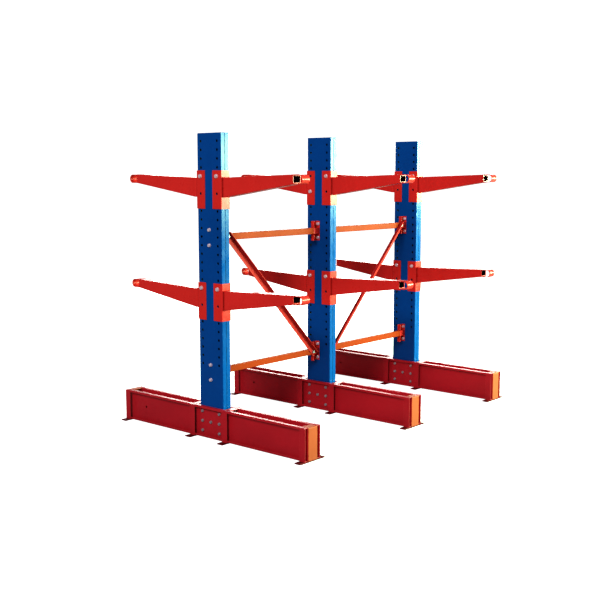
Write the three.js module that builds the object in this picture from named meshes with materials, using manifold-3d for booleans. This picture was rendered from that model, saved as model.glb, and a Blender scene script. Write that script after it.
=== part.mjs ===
// Double-sided cantilever rack, in millimetres, +Z up.
// +X runs out along the arms, +Y runs along the row of columns, and the origin
// is on the floor under the middle column.
import * as THREE from "three";
import { mergeVertices } from "three/addons/utils/BufferGeometryUtils.js";
import Module from "manifold-3d";

const wasm = await Module();
wasm.setup();

// ---- driving dimensions ----
const GAP = 0.3; // clearance between pieces that touch
const OVERLAP = 0.5; // how far welded plates run into each other

const COLUMNS = 3;
const COLUMN_SPACING = 1475;
const COLUMN_WIDTH = 290; // along X
const COLUMN_DEPTH = 100; // along Y, over both C profiles
const COLUMN_WALL = 4;
const COLUMN_RADIUS = 9; // outside bend radius
const COLUMN_TOP = 2690;

const HOLE_PITCH = 75;
const HOLE_ROWS = 27;
const HOLE_LINE = 100; // hole line to the column's centre line
const HOLE_RADIUS = 12;
const TOP_HOLE = 2620; // height of the topmost hole

const FOOT_THICKNESS = 10;
const FOOT_WIDTH = 65;
const FOOT_REACH = 156; // from the base's centre line to the end of a foot bar
const BASE_HALF_LENGTH = 1138;
const BASE_HEIGHT = 280;
const BASE_FLANGE = 41; // web's inner face to the outside of the lip
const BASE_LIP = 20;
const BASE_WALL = 5;
const STRAP_THICKNESS = 5;
const STRAP_CENTRES = [-1104, -205, 205, 1104]; // along X
const TIE_THICKNESS = 6;
const END_PLATE_THICKNESS = 6;
const BASE_BOLT_RADIUS = 11;
const BASE_BOLT_LINE = 106; // bolt line to the column's centre line
const BASE_BOLT_RISE = 88;
const SIDE_HOLE = -885; // a spare hole in the web, towards the -X end

const SADDLE_WALL = 6;
const SADDLE_REACH = 98; // how far the cheeks reach back over the column
const SADDLE_ABOVE_BOLT = 50;
const SADDLE_BELOW_BOLT = 280;
const SADDLE_HOLES_APART = 2 * HOLE_PITCH;
const UPPER_BOLT_HOLE = 4; // hole row of the upper arms' bolts, from the top
const LOWER_BOLT_HOLE = 17;

const ARM_WIDTH = 94;
const ARM_WALL = 4;
const ARM_ROOT_TOP = -12; // heights from the saddle's upper hole
const ARM_ROOT_BOTTOM = -179;
const ARM_ROOT_CHAMFER = 2; // weld preparation along the top of the root
const ARM_END_TOP = 15;
const ARM_END_HEIGHT = 78;
const ARM_FLAT_END = 188; // the underside is level from the saddle to here
const ARM_END = 964;
const RIM_BAR = 12; // height of the bars above and below the window in the arm's end
const RIM_THICKNESS = 8;
const HOOP_THICKNESS = 7;
const HOOP_NOSE = 1064;

const BRACE_SIDE = 17; // the braces' +X side
const BRACE_WIDTH = 40; // along X
const BRACE_HEIGHT = 60;
const BRACE_WALL = 3;
const UPPER_BRACE = 1790;
const LOWER_BRACE = 600;
const CLEAT_HEIGHT = 190;
const CLEAT_DEPTH = 90;
const CLEAT_WIDTH = 41; // along X
const CLEAT_WALL = 5;
const CLEAT_BOLT_RISE = 67;
const CLEAT_BOLT_RADIUS = 11;
const DIAGONAL_LEG = 60; // the leg against the braces
const DIAGONAL_STAND = 38; // the leg that stands out
const DIAGONAL_WALL = 5;
const DIAGONAL_BOLT = 105; // from the column's face to the bolt at the diagonal's end
const DIAGONAL_BOLT_RADIUS = 9;
const DIAGONAL_END = 32; // from the bolt to the cut end

const BOLT_SHANK = 9.9;
const BOLT_HEAD_RADIUS = 17;
const BOLT_HEAD = 13;
const BOLT_NUT = 16;
const BOLT_THREAD_OUT = 6;

// ---- materials ----
const paint = (color) => new THREE.MeshStandardMaterial({ color, roughness: 0.38, metalness: 0.1 });
const columnBlue = () => paint(0x0b4a9e);
const rackRed = () => paint(0xc81e22);
const baseRed = () => paint(0xa51c24);
const braceOrange = () => paint(0xe2561f);
const zinc = () => new THREE.MeshStandardMaterial({ color: 0xb9bec4, roughness: 0.4, metalness: 0.9 });

// ---- solids: three.js geometry, joined and cut by manifold ----
function solid(geometry) {
  const bare = geometry.index ? geometry.clone() : mergeVertices(geometry.clone());
  bare.deleteAttribute("normal");
  bare.deleteAttribute("uv");
  const merged = mergeVertices(bare, 1e-4);
  return new wasm.Manifold(
    new wasm.Mesh({
      numProp: 3,
      vertProperties: new Float32Array(merged.attributes.position.array),
      triVerts: new Uint32Array(merged.index.array),
    }),
  );
}

function geometryOf(body) {
  const mesh = body.getMesh();
  const geometry = new THREE.BufferGeometry();
  geometry.setAttribute("position", new THREE.BufferAttribute(new Float32Array(mesh.vertProperties), 3));
  geometry.setIndex(new THREE.BufferAttribute(new Uint32Array(mesh.triVerts), 1));
  return geometry;
}

const join = (bodies) => bodies.reduce((all, body) => all.add(body));
const cut = (body, tools) => tools.reduce((left, tool) => left.subtract(tool), body);

// A box between two corners.
function block(low, high) {
  const size = high.map((v, i) => v - low[i]);
  const box = new THREE.BoxGeometry(...size);
  box.translate(...low.map((v, i) => v + size[i] / 2));
  return solid(box);
}

// A six-sided drill along Y through (x, z), between two y values.
function drillY(x, z, radius, from, to) {
  const drill = new THREE.CylinderGeometry(radius, radius, to - from, 6);
  drill.translate(x, (from + to) / 2, z);
  return solid(drill);
}

// A six-sided drill along X through (y, z), between two x values.
function drillX(y, z, radius, from, to) {
  const drill = new THREE.CylinderGeometry(radius, radius, to - from, 6);
  drill.rotateZ(Math.PI / 2);
  drill.translate((from + to) / 2, y, z);
  return solid(drill);
}

// An outline in (x, z) made into a bar along Y, between two y values.
function barY(shape, from, to, curveSegments = 3) {
  const bar = new THREE.ExtrudeGeometry(shape, { depth: to - from, bevelEnabled: false, curveSegments });
  bar.rotateX(Math.PI / 2);
  bar.translate(0, to, 0);
  return solid(bar);
}

// An outline in (x, y) made into a bar along Z, between two heights.
function barZ(shape, from, to, curveSegments = 1) {
  const bar = new THREE.ExtrudeGeometry(shape, { depth: to - from, bevelEnabled: false, curveSegments });
  bar.translate(0, 0, from);
  return solid(bar);
}

// An outline in (y, z) made into a bar along X, between two x values.
function barX(shape, from, to) {
  const bar = new THREE.ExtrudeGeometry(shape, { depth: to - from, bevelEnabled: false });
  bar.rotateX(Math.PI / 2);
  bar.rotateZ(Math.PI / 2);
  bar.translate(from, 0, 0);
  return solid(bar);
}

const outline = (points) => new THREE.Shape(points.map(([x, y]) => new THREE.Vector2(x, y)));

// A U opening towards +Y in its own plane: half width, depth, wall and outside bend radius.
function channelOutline(half, depth, wall, radius) {
  const inner = radius - wall;
  const shape = new THREE.Shape();
  shape.moveTo(-half, depth);
  shape.lineTo(-half, radius);
  shape.absarc(-half + radius, radius, radius, Math.PI, 1.5 * Math.PI, false);
  shape.lineTo(half - radius, 0);
  shape.absarc(half - radius, radius, radius, 1.5 * Math.PI, 2 * Math.PI, false);
  shape.lineTo(half, depth);
  shape.lineTo(half - wall, depth);
  shape.lineTo(half - wall, radius);
  shape.absarc(half - radius, radius, inner, 0, 1.5 * Math.PI, true);
  shape.lineTo(-half + radius, wall);
  shape.absarc(-half + radius, radius, inner, 1.5 * Math.PI, Math.PI, true);
  shape.lineTo(-half + wall, depth);
  return shape;
}

// ---- places that several pieces share ----
const baseBottom = FOOT_THICKNESS + GAP;
const baseTop = baseBottom + BASE_HEIGHT;
const columnFace = COLUMN_DEPTH / 2;
const webInner = columnFace + GAP;
const baseBoltHeight = baseBottom + BASE_HEIGHT / 2;
const braceLevels = [UPPER_BRACE, LOWER_BRACE];
const holeHeight = (row) => TOP_HOLE - row * HOLE_PITCH;
const saddleOuter = columnFace + GAP + SADDLE_WALL;
const baseBolts = [-1, 0, 1].flatMap((side) =>
  (side === 0 ? [0] : [-1, 0, 1]).map((row) => [side * BASE_BOLT_LINE, baseBoltHeight + row * BASE_BOLT_RISE]),
);
const cleatBolts = braceLevels.flatMap((z) => [z - CLEAT_BOLT_RISE, z + CLEAT_BOLT_RISE]);

// ---- pieces, each built around its own column's centre line ----

// One cold-formed C: its web faces -Y and its flanges reach back to the joint line.
function columnProfile() {
  const section = channelOutline(COLUMN_WIDTH / 2, columnFace - GAP / 2, COLUMN_WALL, COLUMN_RADIUS);
  const blank = barZ(section, baseBottom, COLUMN_TOP).translate([0, -columnFace, 0]);
  const near = -columnFace - 1;
  const far = near + COLUMN_WALL + 2;
  const drills = [];
  for (let row = 0; row < HOLE_ROWS; row += 1) {
    for (const x of [-HOLE_LINE, HOLE_LINE]) drills.push(drillY(x, holeHeight(row), HOLE_RADIUS, near, far));
  }
  for (const z of cleatBolts) drills.push(drillY(0, z, CLEAT_BOLT_RADIUS, near, far));
  for (const [x, z] of baseBolts) drills.push(drillY(x, z, BASE_BOLT_RADIUS, near, far));
  return cut(blank, drills);
}

// A base's channel on the -Y side: web against the column, flanges and lips outward, four straps
// across the lips and, if it carries them, the two tie plates beside the column.
function baseChannel(withTies) {
  const y0 = -webInner;
  const y1 = y0 - BASE_WALL;
  const y2 = y0 - BASE_FLANGE;
  const y3 = y2 + BASE_WALL;
  const [bottom, top, wall, lip] = [baseBottom, baseTop, BASE_WALL, BASE_LIP];
  const section = outline([
    [y0, bottom], [y0, top], [y2, top], [y2, top - lip], [y3, top - lip], [y3, top - wall],
    [y1, top - wall], [y1, bottom + wall], [y3, bottom + wall], [y3, bottom + lip],
    [y2, bottom + lip], [y2, bottom],
  ]);
  const length = BASE_HALF_LENGTH - END_PLATE_THICKNESS - GAP;
  const straps = STRAP_CENTRES.map((x) =>
    block(
      [x - FOOT_WIDTH / 2 + 1, y2 - STRAP_THICKNESS, bottom],
      [x + FOOT_WIDTH / 2 - 1, y2 + OVERLAP, top],
    ),
  );
  const ties = STRAP_CENTRES.slice(1, 3).map((x) =>
    block(
      [x - FOOT_WIDTH / 2, y0 - OVERLAP, top - TIE_THICKNESS],
      [x + FOOT_WIDTH / 2, webInner - GAP, top],
    ),
  );
  const body = join([barX(section, -length, length), ...straps, ...(withTies ? ties : [])]);
  const drills = baseBolts.map(([x, z]) => drillY(x, z, BASE_BOLT_RADIUS, y1 - 1, y0 + 1));
  drills.push(drillY(SIDE_HOLE, baseBoltHeight, BASE_BOLT_RADIUS, y1 - 1, y0 + 1));
  return cut(body, drills);
}

// The plate over the channels' +X ends, with its top folded back between the webs.
function endPlate() {
  const inside = BASE_HALF_LENGTH - END_PLATE_THICKNESS;
  const half = webInner + BASE_WALL;
  const fold = webInner - GAP;
  return join([
    block([inside, -half, baseBottom], [BASE_HALF_LENGTH, half, baseTop]),
    block(
      [inside - FOOT_WIDTH, -fold, baseTop - TIE_THICKNESS],
      [inside + OVERLAP, fold, baseTop],
    ),
  ]);
}

function footBar() {
  return block([-FOOT_WIDTH / 2, -FOOT_REACH, 0], [FOOT_WIDTH / 2, FOOT_REACH, FOOT_THICKNESS]);
}

// An arm on the +X side, with heights counted from the saddle's upper hole.
function arm() {
  const webOuter = COLUMN_WIDTH / 2 + GAP + SADDLE_WALL;
  const saddleSection = channelOutline(
    saddleOuter, SADDLE_REACH + GAP + SADDLE_WALL, SADDLE_WALL, COLUMN_RADIUS,
  );
  const saddle = barZ(saddleSection, -SADDLE_BELOW_BOLT, SADDLE_ABOVE_BOLT)
    .rotate([0, 0, 90])
    .translate([webOuter, 0, 0]);

  const endBottom = ARM_END_TOP - ARM_END_HEIGHT;
  const profile = (inset, start, end) =>
    outline([
      [webOuter + ARM_ROOT_CHAMFER, ARM_ROOT_TOP - inset],
      [start, ARM_ROOT_TOP - ARM_ROOT_CHAMFER - inset],
      [start, ARM_ROOT_BOTTOM + inset],
      [ARM_FLAT_END, ARM_ROOT_BOTTOM + inset],
      [end, endBottom + inset],
      [end, ARM_END_TOP - inset],
    ]);
  const half = ARM_WIDTH / 2;
  const outside = barY(profile(0, webOuter - OVERLAP, ARM_END), -half, half);
  const inside = barY(profile(ARM_WALL, webOuter, ARM_END - RIM_THICKNESS), ARM_WALL - half, half - ARM_WALL);
  const window = block(
    [ARM_END - RIM_THICKNESS - 1, ARM_WALL - half, endBottom + RIM_BAR],
    [ARM_END + 1, half - ARM_WALL, ARM_END_TOP - RIM_BAR],
  );

  const radius = ARM_END_HEIGHT / 2 - GAP;
  const centre = (ARM_END_TOP + endBottom) / 2;
  const loop = (r, start) => {
    const shape = new THREE.Shape();
    shape.moveTo(start, centre + r);
    shape.lineTo(start, centre - r);
    shape.absarc(HOOP_NOSE - radius, centre, r, -Math.PI / 2, Math.PI / 2, false);
    return shape;
  };
  const hoop = barY(loop(radius, ARM_END - OVERLAP), -half, half).subtract(
    barY(loop(radius - HOOP_THICKNESS, ARM_END - 2 * OVERLAP), -half - 1, half + 1),
  );

  const holes = [0, -SADDLE_HOLES_APART].map((z) =>
    drillY(HOLE_LINE, z, HOLE_RADIUS, -saddleOuter - 1, saddleOuter + 1),
  );
  const box = cut(outside, [inside, window]);
  return cut(join([saddle, box, hoop]), holes);
}

// A hexagon bolt along Y with its nut, through a saddle and the column.
function armBolt() {
  const head = -saddleOuter - GAP;
  const nut = -head;
  const profile = [
    [0, head - BOLT_HEAD],
    [BOLT_HEAD_RADIUS, head - BOLT_HEAD],
    [BOLT_HEAD_RADIUS, head],
    [BOLT_SHANK, head],
    [BOLT_SHANK, nut],
    [BOLT_HEAD_RADIUS, nut],
    [BOLT_HEAD_RADIUS, nut + BOLT_NUT],
    [BOLT_SHANK, nut + BOLT_NUT],
    [BOLT_SHANK, nut + BOLT_NUT + BOLT_THREAD_OUT],
    [0, nut + BOLT_NUT + BOLT_THREAD_OUT],
  ];
  return solid(new THREE.LatheGeometry(profile.map(([r, y]) => new THREE.Vector2(r, y)), 6));
}

// A tube along Y between two columns, with a channel cleat standing at each end. The cleats open
// towards +X, and the tube runs through their outer flanges. The holes in its +X side take the
// diagonals.
function brace() {
  const from = columnFace + GAP;
  const to = COLUMN_SPACING - columnFace - GAP;
  const [side, far, wall] = [BRACE_SIDE, BRACE_SIDE - BRACE_WIDTH, BRACE_WALL];
  const half = BRACE_HEIGHT / 2;
  const tube = block([far, from + OVERLAP, -half], [side, to - OVERLAP, half]);
  const bore = block(
    [far + wall, from + CLEAT_WALL, wall - half],
    [side - wall, to - CLEAT_WALL, half - wall],
  );
  const back = BRACE_SIDE - CLEAT_WIDTH;
  const cleat = block([back, 0, -CLEAT_HEIGHT / 2], [side, CLEAT_DEPTH, CLEAT_HEIGHT / 2]).subtract(
    block(
      [back + CLEAT_WALL, CLEAT_WALL, -CLEAT_HEIGHT / 2 - 1],
      [side + 1, CLEAT_DEPTH - CLEAT_WALL, CLEAT_HEIGHT / 2 + 1],
    ),
  );
  const cleats = [cleat.translate([0, from, 0]), cleat.mirror([0, 1, 0]).translate([0, to, 0])];
  const boltHoles = [-CLEAT_BOLT_RISE, CLEAT_BOLT_RISE].flatMap((z) => [
    drillY(0, z, CLEAT_BOLT_RADIUS, from - 1, from + CLEAT_WALL + 1),
    drillY(0, z, CLEAT_BOLT_RADIUS, to - CLEAT_WALL - 1, to + 1),
  ]);
  const sideHoles = [columnFace + DIAGONAL_BOLT, COLUMN_SPACING - columnFace - DIAGONAL_BOLT].map((y) =>
    drillX(y, 0, DIAGONAL_BOLT_RADIUS, side - wall - 1, side + 1),
  );
  return cut(join([tube, ...cleats]), [bore, ...boltHoles, ...sideHoles]);
}

// An angle section from the upper brace beside one column to the lower brace beside the next,
// falling towards +Y. One leg lies against the braces' +X sides and the other, on top, stands out.
function diagonal() {
  const start = [columnFace + DIAGONAL_BOLT, UPPER_BRACE];
  const end = [COLUMN_SPACING - columnFace - DIAGONAL_BOLT, LOWER_BRACE];
  const span = Math.hypot(end[0] - start[0], end[1] - start[1]);
  const slope = Math.atan2(end[1] - start[1], end[0] - start[0]);
  const half = DIAGONAL_LEG / 2;
  const section = outline([
    [0, -half], [DIAGONAL_WALL, -half], [DIAGONAL_WALL, half - DIAGONAL_WALL],
    [DIAGONAL_STAND, half - DIAGONAL_WALL], [DIAGONAL_STAND, half], [0, half],
  ]);
  const bar = barY(section, -DIAGONAL_END, span + DIAGONAL_END);
  const holes = [0, span].map((y) => drillX(y, 0, DIAGONAL_BOLT_RADIUS, -1, DIAGONAL_WALL + 1));
  return cut(bar, holes)
    .rotate([THREE.MathUtils.radToDeg(slope), 0, 0])
    .translate([BRACE_SIDE + GAP, start[0], start[1]]);
}

// ---- the assembly ----
const rack = new THREE.Group();

function place(parent, name, body, material, x = 0, y = 0, z = 0, turn = 0) {
  const mesh = new THREE.Mesh(body, material);
  mesh.name = name;
  mesh.position.set(x, y, z);
  mesh.rotation.z = turn;
  parent.add(mesh);
}

const shapes = {
  profile: geometryOf(columnProfile()),
  channelWithTies: geometryOf(baseChannel(true)),
  channel: geometryOf(baseChannel(false)),
  mirroredChannel: geometryOf(baseChannel(false).mirror([0, 1, 0])),
  endPlate: geometryOf(endPlate()),
  foot: geometryOf(footBar()),
  arm: geometryOf(arm()),
  armBolt: geometryOf(armBolt()),
  brace: geometryOf(brace()),
  diagonal: geometryOf(diagonal()),
  mirroredDiagonal: geometryOf(diagonal().mirror([0, 1, 0])),
};

const sides = [["right", 0], ["left", Math.PI]];
const levels = [["upper", UPPER_BOLT_HOLE], ["lower", LOWER_BOLT_HOLE]];
// This arm's bolt sits in the saddle's lower hole, and every other one in the upper hole.
const LOW_BOLT_ARM = "2_left_upper";

for (let n = 1; n <= COLUMNS; n += 1) {
  const station = new THREE.Group();
  station.position.y = (n - (COLUMNS + 1) / 2) * COLUMN_SPACING;
  rack.add(station);

  place(station, `column_${n}_front`, shapes.profile, columnBlue());
  place(station, `column_${n}_back`, shapes.profile, columnBlue(), 0, 0, 0, Math.PI);
  place(station, `base_${n}_channel_front`, shapes.channelWithTies, baseRed());
  place(station, `base_${n}_channel_back`, shapes.mirroredChannel, baseRed());
  STRAP_CENTRES.forEach((x, i) => place(station, `base_${n}_foot_${i + 1}`, shapes.foot, baseRed(), x));

  for (const [side, turn] of sides) {
    place(station, `base_${n}_end_plate_${side}`, shapes.endPlate, baseRed(), 0, 0, 0, turn);
    for (const [level, row] of levels) {
      const label = `${n}_${side}_${level}`;
      const z = holeHeight(row);
      const boltZ = label === LOW_BOLT_ARM ? z - SADDLE_HOLES_APART : z;
      const boltX = HOLE_LINE * Math.cos(turn);
      place(station, `arm_${label}`, shapes.arm, rackRed(), 0, 0, z, turn);
      place(station, `arm_bolt_${label}`, shapes.armBolt, zinc(), boltX, 0, boltZ);
    }
  }
}

for (let bay = 1; bay < COLUMNS; bay += 1) {
  const y = (bay - (COLUMNS + 1) / 2) * COLUMN_SPACING;
  place(rack, `brace_${bay}_upper`, shapes.brace, braceOrange(), 0, y, UPPER_BRACE);
  place(rack, `brace_${bay}_lower`, shapes.brace, braceOrange(), 0, y, LOWER_BRACE);
}
place(rack, "diagonal_1", shapes.diagonal, rackRed(), 0, -COLUMN_SPACING);
place(rack, "diagonal_2", shapes.mirroredDiagonal, rackRed(), 0, COLUMN_SPACING);

export default rack;
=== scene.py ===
"""Looks of the double-sided cantilever rack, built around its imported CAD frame.

+X runs out along the right-hand arms, +Y runs along the row of columns, +Z is up.
Builders work in millimetres; make() turns their result into metres.
"""

import math

import bmesh
import bpy
from mathutils import Matrix, Vector


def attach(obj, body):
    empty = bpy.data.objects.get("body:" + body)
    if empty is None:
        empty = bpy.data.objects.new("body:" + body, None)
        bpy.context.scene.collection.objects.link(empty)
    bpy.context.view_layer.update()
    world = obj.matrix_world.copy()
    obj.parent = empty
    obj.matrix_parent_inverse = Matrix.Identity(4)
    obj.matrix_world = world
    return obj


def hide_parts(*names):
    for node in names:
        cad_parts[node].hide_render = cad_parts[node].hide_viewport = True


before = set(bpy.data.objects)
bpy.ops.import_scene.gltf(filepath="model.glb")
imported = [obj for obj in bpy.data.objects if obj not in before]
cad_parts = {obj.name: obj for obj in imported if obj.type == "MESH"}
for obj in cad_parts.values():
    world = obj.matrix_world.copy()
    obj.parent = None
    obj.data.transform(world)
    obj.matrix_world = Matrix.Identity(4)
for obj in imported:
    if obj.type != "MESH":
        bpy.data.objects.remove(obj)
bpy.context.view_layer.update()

MM = 0.001
GAP = 0.3
STATIONS = (1, 2, 3)
SPACING = 1475.0
HOLE_PITCH = 75.0
HOLE_LINE = 100.0
TOP_HOLE = 2620.0
HOLE_ROWS = 27
HOLE_RADIUS = 12.0
COLUMN_HALF = 145.0
COLUMN_FACE = 50.0
COLUMN_WALL = 4.0
COLUMN_RADIUS = 9.0
COLUMN_TOP = 2690.0
SEAM_GROOVE = 5.0
SEAM_LAP = 0.6
STITCH = 80.0
STITCH_PITCH = 255.0
FIRST_STITCH = 330.0
LAST_STITCH_CLEAR = 140.0
TOP_STITCH = (42.0, 3.0)
STITCH_CLEAR = 20.0
FOOT_TOP = 10.0
FOOT_WIDTH = 65.0
FOOT_REACH = 156.0
FOOT_WELD_MARGIN = 4.0
BASE_BOTTOM = FOOT_TOP + GAP
BASE_TOP = BASE_BOTTOM + 280.0
BASE_MIDDLE = BASE_BOTTOM + 140.0
BASE_HALF = 1138.0
BASE_FLANGE = 41.0
BASE_WALL = 5.0
BASE_LIP = 20.0
BASE_BEND = 7.0
BASE_BOLT_LINE = 106.0
BASE_BOLT_RISE = 88.0
BASE_HOLE_RADIUS = 11.0
SPARE_HOLE = -885.0
WEB_INNER = COLUMN_FACE + GAP
STRAPS = (-1104.0, -205.0, 205.0, 1104.0)
STRAP_WALL = 5.0
STRAP_HALF = FOOT_WIDTH / 2 - 1
STRAP_LAP = 0.4
TIE_WALL = 6.0
TIE_WELD_MARGIN = 3.0
END_PLATE = 6.0
END_PLATE_BEND = 8.0
SADDLE_WALL = 6.0
SADDLE_OUTER = COLUMN_FACE + GAP + SADDLE_WALL
SADDLE_WEB = COLUMN_HALF + GAP + SADDLE_WALL
SADDLE_REACH = 98.0 + GAP + SADDLE_WALL
SADDLE_TOP = 50.0
SADDLE_BOTTOM = -280.0
LOWER_SADDLE_HOLE = -2 * HOLE_PITCH
ARM_HALF = 47.0
ARM_ROOT_TOP = -12.0
ARM_ROOT_BOTTOM = -179.0
ARM_FLAT_END = 188.0
ARM_END = 964.0
ARM_END_TOP = 15.0
ARM_END_BOTTOM = ARM_END_TOP - 78.0
HOOP_NOSE = 1064.0
HOOP_WALL = 7.0
HOOP_ROOT = 0.5
BEAM_WALL = 4.0
RIM_HEIGHT = 13.0
RIM_SIDE = 8.0
BEAM_CORNER = 5.0
BRACE_SIDE = 17.0
BRACE_WIDTH = 40.0
BRACE_HALF_HEIGHT = 30.0
BRACE_CORNER = 4.5
CLEAT_DEPTH = 90.0
CLEAT_WIDTH = 41.0
CLEAT_WALL = 5.0
CLEAT_BEND = 8.0
CLEAT_HALF = 95.0
CLEAT_BOLT_RISE = 67.0
CLEAT_HOLE_RADIUS = 11.0
BRACE_LEVELS = {"upper": 1790.0, "lower": 600.0}
ARM_ROWS = {"upper": 4, "lower": 17}
LOW_BOLT_ARM = "2_left_upper"
DIAGONAL_BOLT = 105.0
DIAGONAL_END = 32.0
DIAGONAL_LEG = 60.0
DIAGONAL_STAND = 38.0
DIAGONAL_WALL = 5.0
DIAGONAL_BEND = 6.5
DIAGONAL_HOLE_RADIUS = 9.5
WASHER = 2.8
HEAD_FLAT = 0.96
HEAD_CHAMFER = math.radians(30)
BOLTS = {
    "arm": {"flats": 30.0, "head": 12.5, "nut": 15.0, "out": 7.0, "size": 9.9},
    "brace": {"flats": 27.0, "head": 12.5, "nut": 15.0, "out": 5.0, "size": 9.9},
    "base": {"flats": 24.0, "head": 10.0, "nut": 13.0, "out": 6.0, "size": 7.9},
    "diagonal": {"flats": 24.0, "head": 9.5, "nut": 11.0, "out": 4.0, "size": 7.9},
}
# Near-black tone of faces marked as inside: painted shade for the hollows.
INSIDE_PAINTED_SHADE = (0.010, 0.008, 0.009)
FLOOR_HALF = 30.0
FLOOR_DROP = 0.0005
FLOOR_GLOW = 0.80
FLOOR_BOUNCE = (0.30, 0.28, 0.30, 1.0)
AMBIENT_COLOUR = (0.95, 0.90, 1.0, 1.0)
AMBIENT_STRENGTH = 0.20
WHITE = (1.0, 1.0, 1.0, 1.0)
SENSOR_MM = 36.0
LENS_MM = 58.884
VIEW_FROM = (6.185, -7.445, 2.329)
VIEW_TILT = 82.75
VIEW_TURN = 40.99

scene = bpy.context.scene


# ---------------------------------------------------------------- mesh tools
def make(bm, name, bevel=0.0, segments=2, angle=38.0):
    """Mesh data in metres from a bmesh in millimetres, with real bevels on its sharp edges.
    The bevelled faces carry the face attribute 'edge', which the paints read as wear."""
    bmesh.ops.recalc_face_normals(bm, faces=bm.faces)
    bmesh.ops.scale(bm, vec=(MM, MM, MM), verts=bm.verts)
    for face in bm.faces:
        face.smooth = True
    rough = bpy.data.meshes.new(name + "_rough")
    bm.to_mesh(rough)
    bm.free()
    helper = bpy.data.objects.new(name + "_helper", rough)
    scene.collection.objects.link(helper)
    if bevel:
        mod = helper.modifiers.new("bevel", "BEVEL")
        mod.width = bevel * MM
        mod.segments = segments
        mod.limit_method = "ANGLE"
        mod.angle_limit = math.radians(angle)
        mod.use_clamp_overlap = True
        mod.material = 1
        rough.materials.append(None)
        rough.materials.append(None)
    normals = helper.modifiers.new("normals", "WEIGHTED_NORMAL")
    normals.keep_sharp = True
    result = bpy.data.meshes.new_from_object(
        helper.evaluated_get(bpy.context.evaluated_depsgraph_get())
    )
    result.name = name
    wear = result.attributes.new("edge", "FLOAT", "FACE")
    wear.data.foreach_set("value", [float(p.material_index) for p in result.polygons])
    for p in result.polygons:
        p.material_index = 0
    result.materials.clear()
    bpy.data.objects.remove(helper)
    bpy.data.meshes.remove(rough)
    return result


def put(name, mesh, material, replaces=(), at=(0, 0, 0), turn=0.0, flip=False):
    """An object showing a mesh at a place in millimetres, turned about Z, riding on the rack."""
    if flip:
        mesh = mesh.copy()
        mesh.transform(Matrix.Diagonal((1, -1, 1, 1)))
        mesh.flip_normals()
    elif mesh.materials and mesh.materials[0] != material:
        mesh = mesh.copy()
        mesh.materials.clear()
    if not mesh.materials:
        mesh.materials.append(material)
    obj = bpy.data.objects.new(name, mesh)
    obj.location = Vector(at) * MM
    obj.rotation_euler = (0, 0, turn)
    scene.collection.objects.link(obj)
    bpy.context.view_layer.update()
    if replaces:
        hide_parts(*replaces)
    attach(obj, "root")
    return obj


def join_meshes(parts):
    """One bmesh from several."""
    whole = bmesh.new()
    for bm in parts:
        temp = bpy.data.meshes.new("part")
        bm.to_mesh(temp)
        bm.free()
        whole.from_mesh(temp)
        bpy.data.meshes.remove(temp)
    return whole


def box(low, high):
    bm = bmesh.new()
    centre = [(a + b) / 2 for a, b in zip(low, high)]
    size = [b - a for a, b in zip(low, high)]
    bmesh.ops.create_cube(bm, size=1.0)
    bmesh.ops.scale(bm, vec=size, verts=bm.verts)
    bmesh.ops.translate(bm, vec=centre, verts=bm.verts)
    return bm


def fold(corners, wall, radius, steps=6):
    """Outer and inner points of a bent sheet. The corners are the outside's sharp corners, and the
    sheet always bends towards the left of the way it runs."""
    outer, inner = [], []
    points = [Vector(c) for c in corners]
    for i, point in enumerate(points):
        if 0 < i < len(points) - 1:
            before = (point - points[i - 1]).normalized()
            after = (points[i + 1] - point).normalized()
            turn = before.angle(after)
            back = radius * math.tan(turn / 2)
            start = point - before * back
            left = Vector((-before.y, before.x))
            centre = start + left * radius
            for k in range(steps + 1):
                a = turn * k / steps
                spoke = Vector((
                    -left.x * math.cos(a) + left.y * math.sin(a),
                    -left.x * math.sin(a) - left.y * math.cos(a),
                ))
                outer.append(centre + spoke * radius)
                inner.append(centre + spoke * (radius - wall))
        else:
            along = (points[1] - points[0]) if i == 0 else (points[-1] - points[-2])
            along.normalize()
            left = Vector((-along.y, along.x))
            outer.append(point.copy())
            inner.append(point + left * wall)
    return outer, inner


def between(values, low, high, margin):
    """Lines that part the sorted values into cells, each holding one value."""
    values = sorted(set(values))
    lines = [max(low, values[0] - margin)]
    lines += [(a + b) / 2 for a, b in zip(values, values[1:])]
    lines.append(min(high, values[-1] + margin))
    return lines


def sweep(outer, inner, low, high, holes=(), place=lambda a, b, c: (a, b, c), hollow=False):
    """A bent sheet swept from low to high. holes are (segment, distance along it, height, radius),
    punched through that flat segment in rows and lines. place() says where (section a, section b,
    sweep c) goes. In a hollow piece the inner skin and the sheet's long edges are marked as
    inside, which the paints turn near-black and matt as painted shade."""
    bm = bmesh.new()
    inside = bm.faces.layers.float.new("inside")
    levels = [low, high]
    if holes:
        levels = [low] + between([h[2] for h in holes], low, high, holes[0][3] * 1.7) + [high]
        levels = [z for i, z in enumerate(levels) if i == 0 or z > levels[i - 1] + 1e-6]
    rows = range(len(levels))

    def grid(points):
        return [[bm.verts.new(place(p[0], p[1], c)) for p in points] for c in levels]

    out, inn = grid(outer), grid(inner)
    last = len(outer) - 1
    for i in range(last):
        for c in (0, -1):
            bm.faces.new((out[c][i], out[c][i + 1], inn[c][i + 1], inn[c][i]))
        here = [h for h in holes if h[0] == i]
        if here:
            punched(bm, outer, inner, i, here, levels, (out, inn), place, hollow)
            continue
        for c in rows[:-1]:
            for skin in (out, inn):
                face = bm.faces.new((skin[c][i], skin[c][i + 1], skin[c + 1][i + 1], skin[c + 1][i]))
                face[inside] = float(hollow and skin is inn)
    for i in (0, last):
        for c in rows[:-1]:
            face = bm.faces.new((out[c][i], inn[c][i], inn[c + 1][i], out[c + 1][i]))
            face[inside] = float(hollow)
    return bm


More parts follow.
